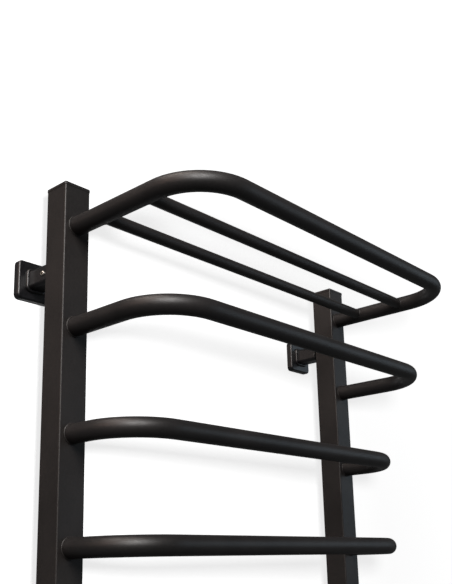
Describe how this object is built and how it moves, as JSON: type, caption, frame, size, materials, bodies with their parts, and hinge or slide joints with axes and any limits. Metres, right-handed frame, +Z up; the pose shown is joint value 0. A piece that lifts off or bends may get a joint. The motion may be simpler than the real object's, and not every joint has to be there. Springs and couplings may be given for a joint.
{
  "type": "towel warmer rack",
  "caption": "Wall-hung water-heated towel rack: two square posts joined by U-bent round rails that step forward to a deep shelf with cross rods, on telescopic wall brackets.",
  "frame": {"origin": "on the wall plane, midway between the four wall screws", "axes": "+X along the wall to the right seen from the front, +Y into the wall, +Z up; the rack stands out from the wall along -Y"},
  "size_m": [0.491, 0.2525, 0.8],
  "materials": {
    "post_powder_coat": "matte black powder coat with a fine texture, on stainless steel",
    "rail_powder_coat": "matte black powder coat, on stainless steel tube",
    "bracket_enamel": "semi-gloss black coat on cast metal",
    "clamp_screw_steel": "bright zinc-plated steel",
    "vent_brass": "machined brass",
    "vent_screw_steel": "machined stainless steel",
    "gasket_rubber": "matte black rubber"
  },
  "bodies": {
    "wall_brackets": {"wall_sleeve_upper_left": "bracket_enamel", "wall_sleeve_lower_left": "bracket_enamel", "wall_sleeve_upper_right": "bracket_enamel", "wall_sleeve_lower_right": "bracket_enamel"},
    "rack": {"shelf_rail": "rail_powder_coat", "rail_2": "rail_powder_coat", "rail_3": "rail_powder_coat", "rail_4": "rail_powder_coat", "rail_5": "rail_powder_coat", "rail_6": "rail_powder_coat", "rail_7": "rail_powder_coat", "rail_8": "rail_powder_coat", "shelf_rod_front": "rail_powder_coat", "shelf_rod_rear": "rail_powder_coat", "post_left": "post_powder_coat", "post_right": "post_powder_coat", "top_cap_left": "post_powder_coat", "top_cap_right": "post_powder_coat", "inlet_boss_left": "post_powder_coat", "inlet_boss_right": "post_powder_coat", "weld_beads_left": "post_powder_coat", "weld_beads_right": "post_powder_coat", "wall_peg_upper_left": "bracket_enamel", "wall_peg_lower_left": "bracket_enamel", "wall_peg_upper_right": "bracket_enamel", "wall_peg_lower_right": "bracket_enamel", "vent_boss": "post_powder_coat", "vent_gasket": "gasket_rubber", "vent_body": "vent_brass"},
    "vent_screw": {"vent_screw": "vent_screw_steel"},
    "rosette_upper_left": {"rosette_upper_left": "bracket_enamel"},
    "clamp_screw_upper_left": {"clamp_screw_upper_left": "clamp_screw_steel"},
    "rosette_lower_left": {"rosette_lower_left": "bracket_enamel"},
    "clamp_screw_lower_left": {"clamp_screw_lower_left": "clamp_screw_steel"},
    "rosette_upper_right": {"rosette_upper_right": "bracket_enamel"},
    "clamp_screw_upper_right": {"clamp_screw_upper_right": "clamp_screw_steel"},
    "rosette_lower_right": {"rosette_lower_right": "bracket_enamel"},
    "clamp_screw_lower_right": {"clamp_screw_lower_right": "clamp_screw_steel"}
  },
  "joints": [
    {"name": "rack_depth_slide", "type": "slide", "parent": "wall_brackets", "child": "rack", "axis": [0, 1, 0], "range_m": [-0.013, 0.003]},
    {"name": "rosette_slide_upper_left", "type": "slide", "parent": "wall_brackets", "child": "rosette_upper_left", "axis": [0, -1, 0], "range_m": [0, 0.02]},
    {"name": "clamp_screw_turn_upper_left", "type": "hinge", "parent": "wall_brackets", "child": "clamp_screw_upper_left", "pos_m": [-0.2335, -0.034, 0.315], "axis": [-1, 0, 0], "range_deg": [0, 360]},
    {"name": "rosette_slide_lower_left", "type": "slide", "parent": "wall_brackets", "child": "rosette_lower_left", "axis": [0, -1, 0], "range_m": [0, 0.02]},
    {"name": "clamp_screw_turn_lower_left", "type": "hinge", "parent": "wall_brackets", "child": "clamp_screw_lower_left", "pos_m": [-0.2335, -0.034, -0.315], "axis": [-1, 0, 0], "range_deg": [0, 360]},
    {"name": "rosette_slide_upper_right", "type": "slide", "parent": "wall_brackets", "child": "rosette_upper_right", "axis": [0, -1, 0], "range_m": [0, 0.02]},
    {"name": "clamp_screw_turn_upper_right", "type": "hinge", "parent": "wall_brackets", "child": "clamp_screw_upper_right", "pos_m": [0.2335, -0.034, 0.315], "axis": [1, 0, 0], "range_deg": [0, 360]},
    {"name": "rosette_slide_lower_right", "type": "slide", "parent": "wall_brackets", "child": "rosette_lower_right", "axis": [0, -1, 0], "range_m": [0, 0.02]},
    {"name": "clamp_screw_turn_lower_right", "type": "hinge", "parent": "wall_brackets", "child": "clamp_screw_lower_right", "pos_m": [0.2335, -0.034, -0.315], "axis": [1, 0, 0], "range_deg": [0, 360]},
    {"name": "vent_screw_turn", "type": "hinge", "parent": "rack", "child": "vent_screw", "pos_m": [-0.225, -0.038, 0.376], "axis": [0, 1, 0], "range_deg": [-540, 0]}
  ]
}
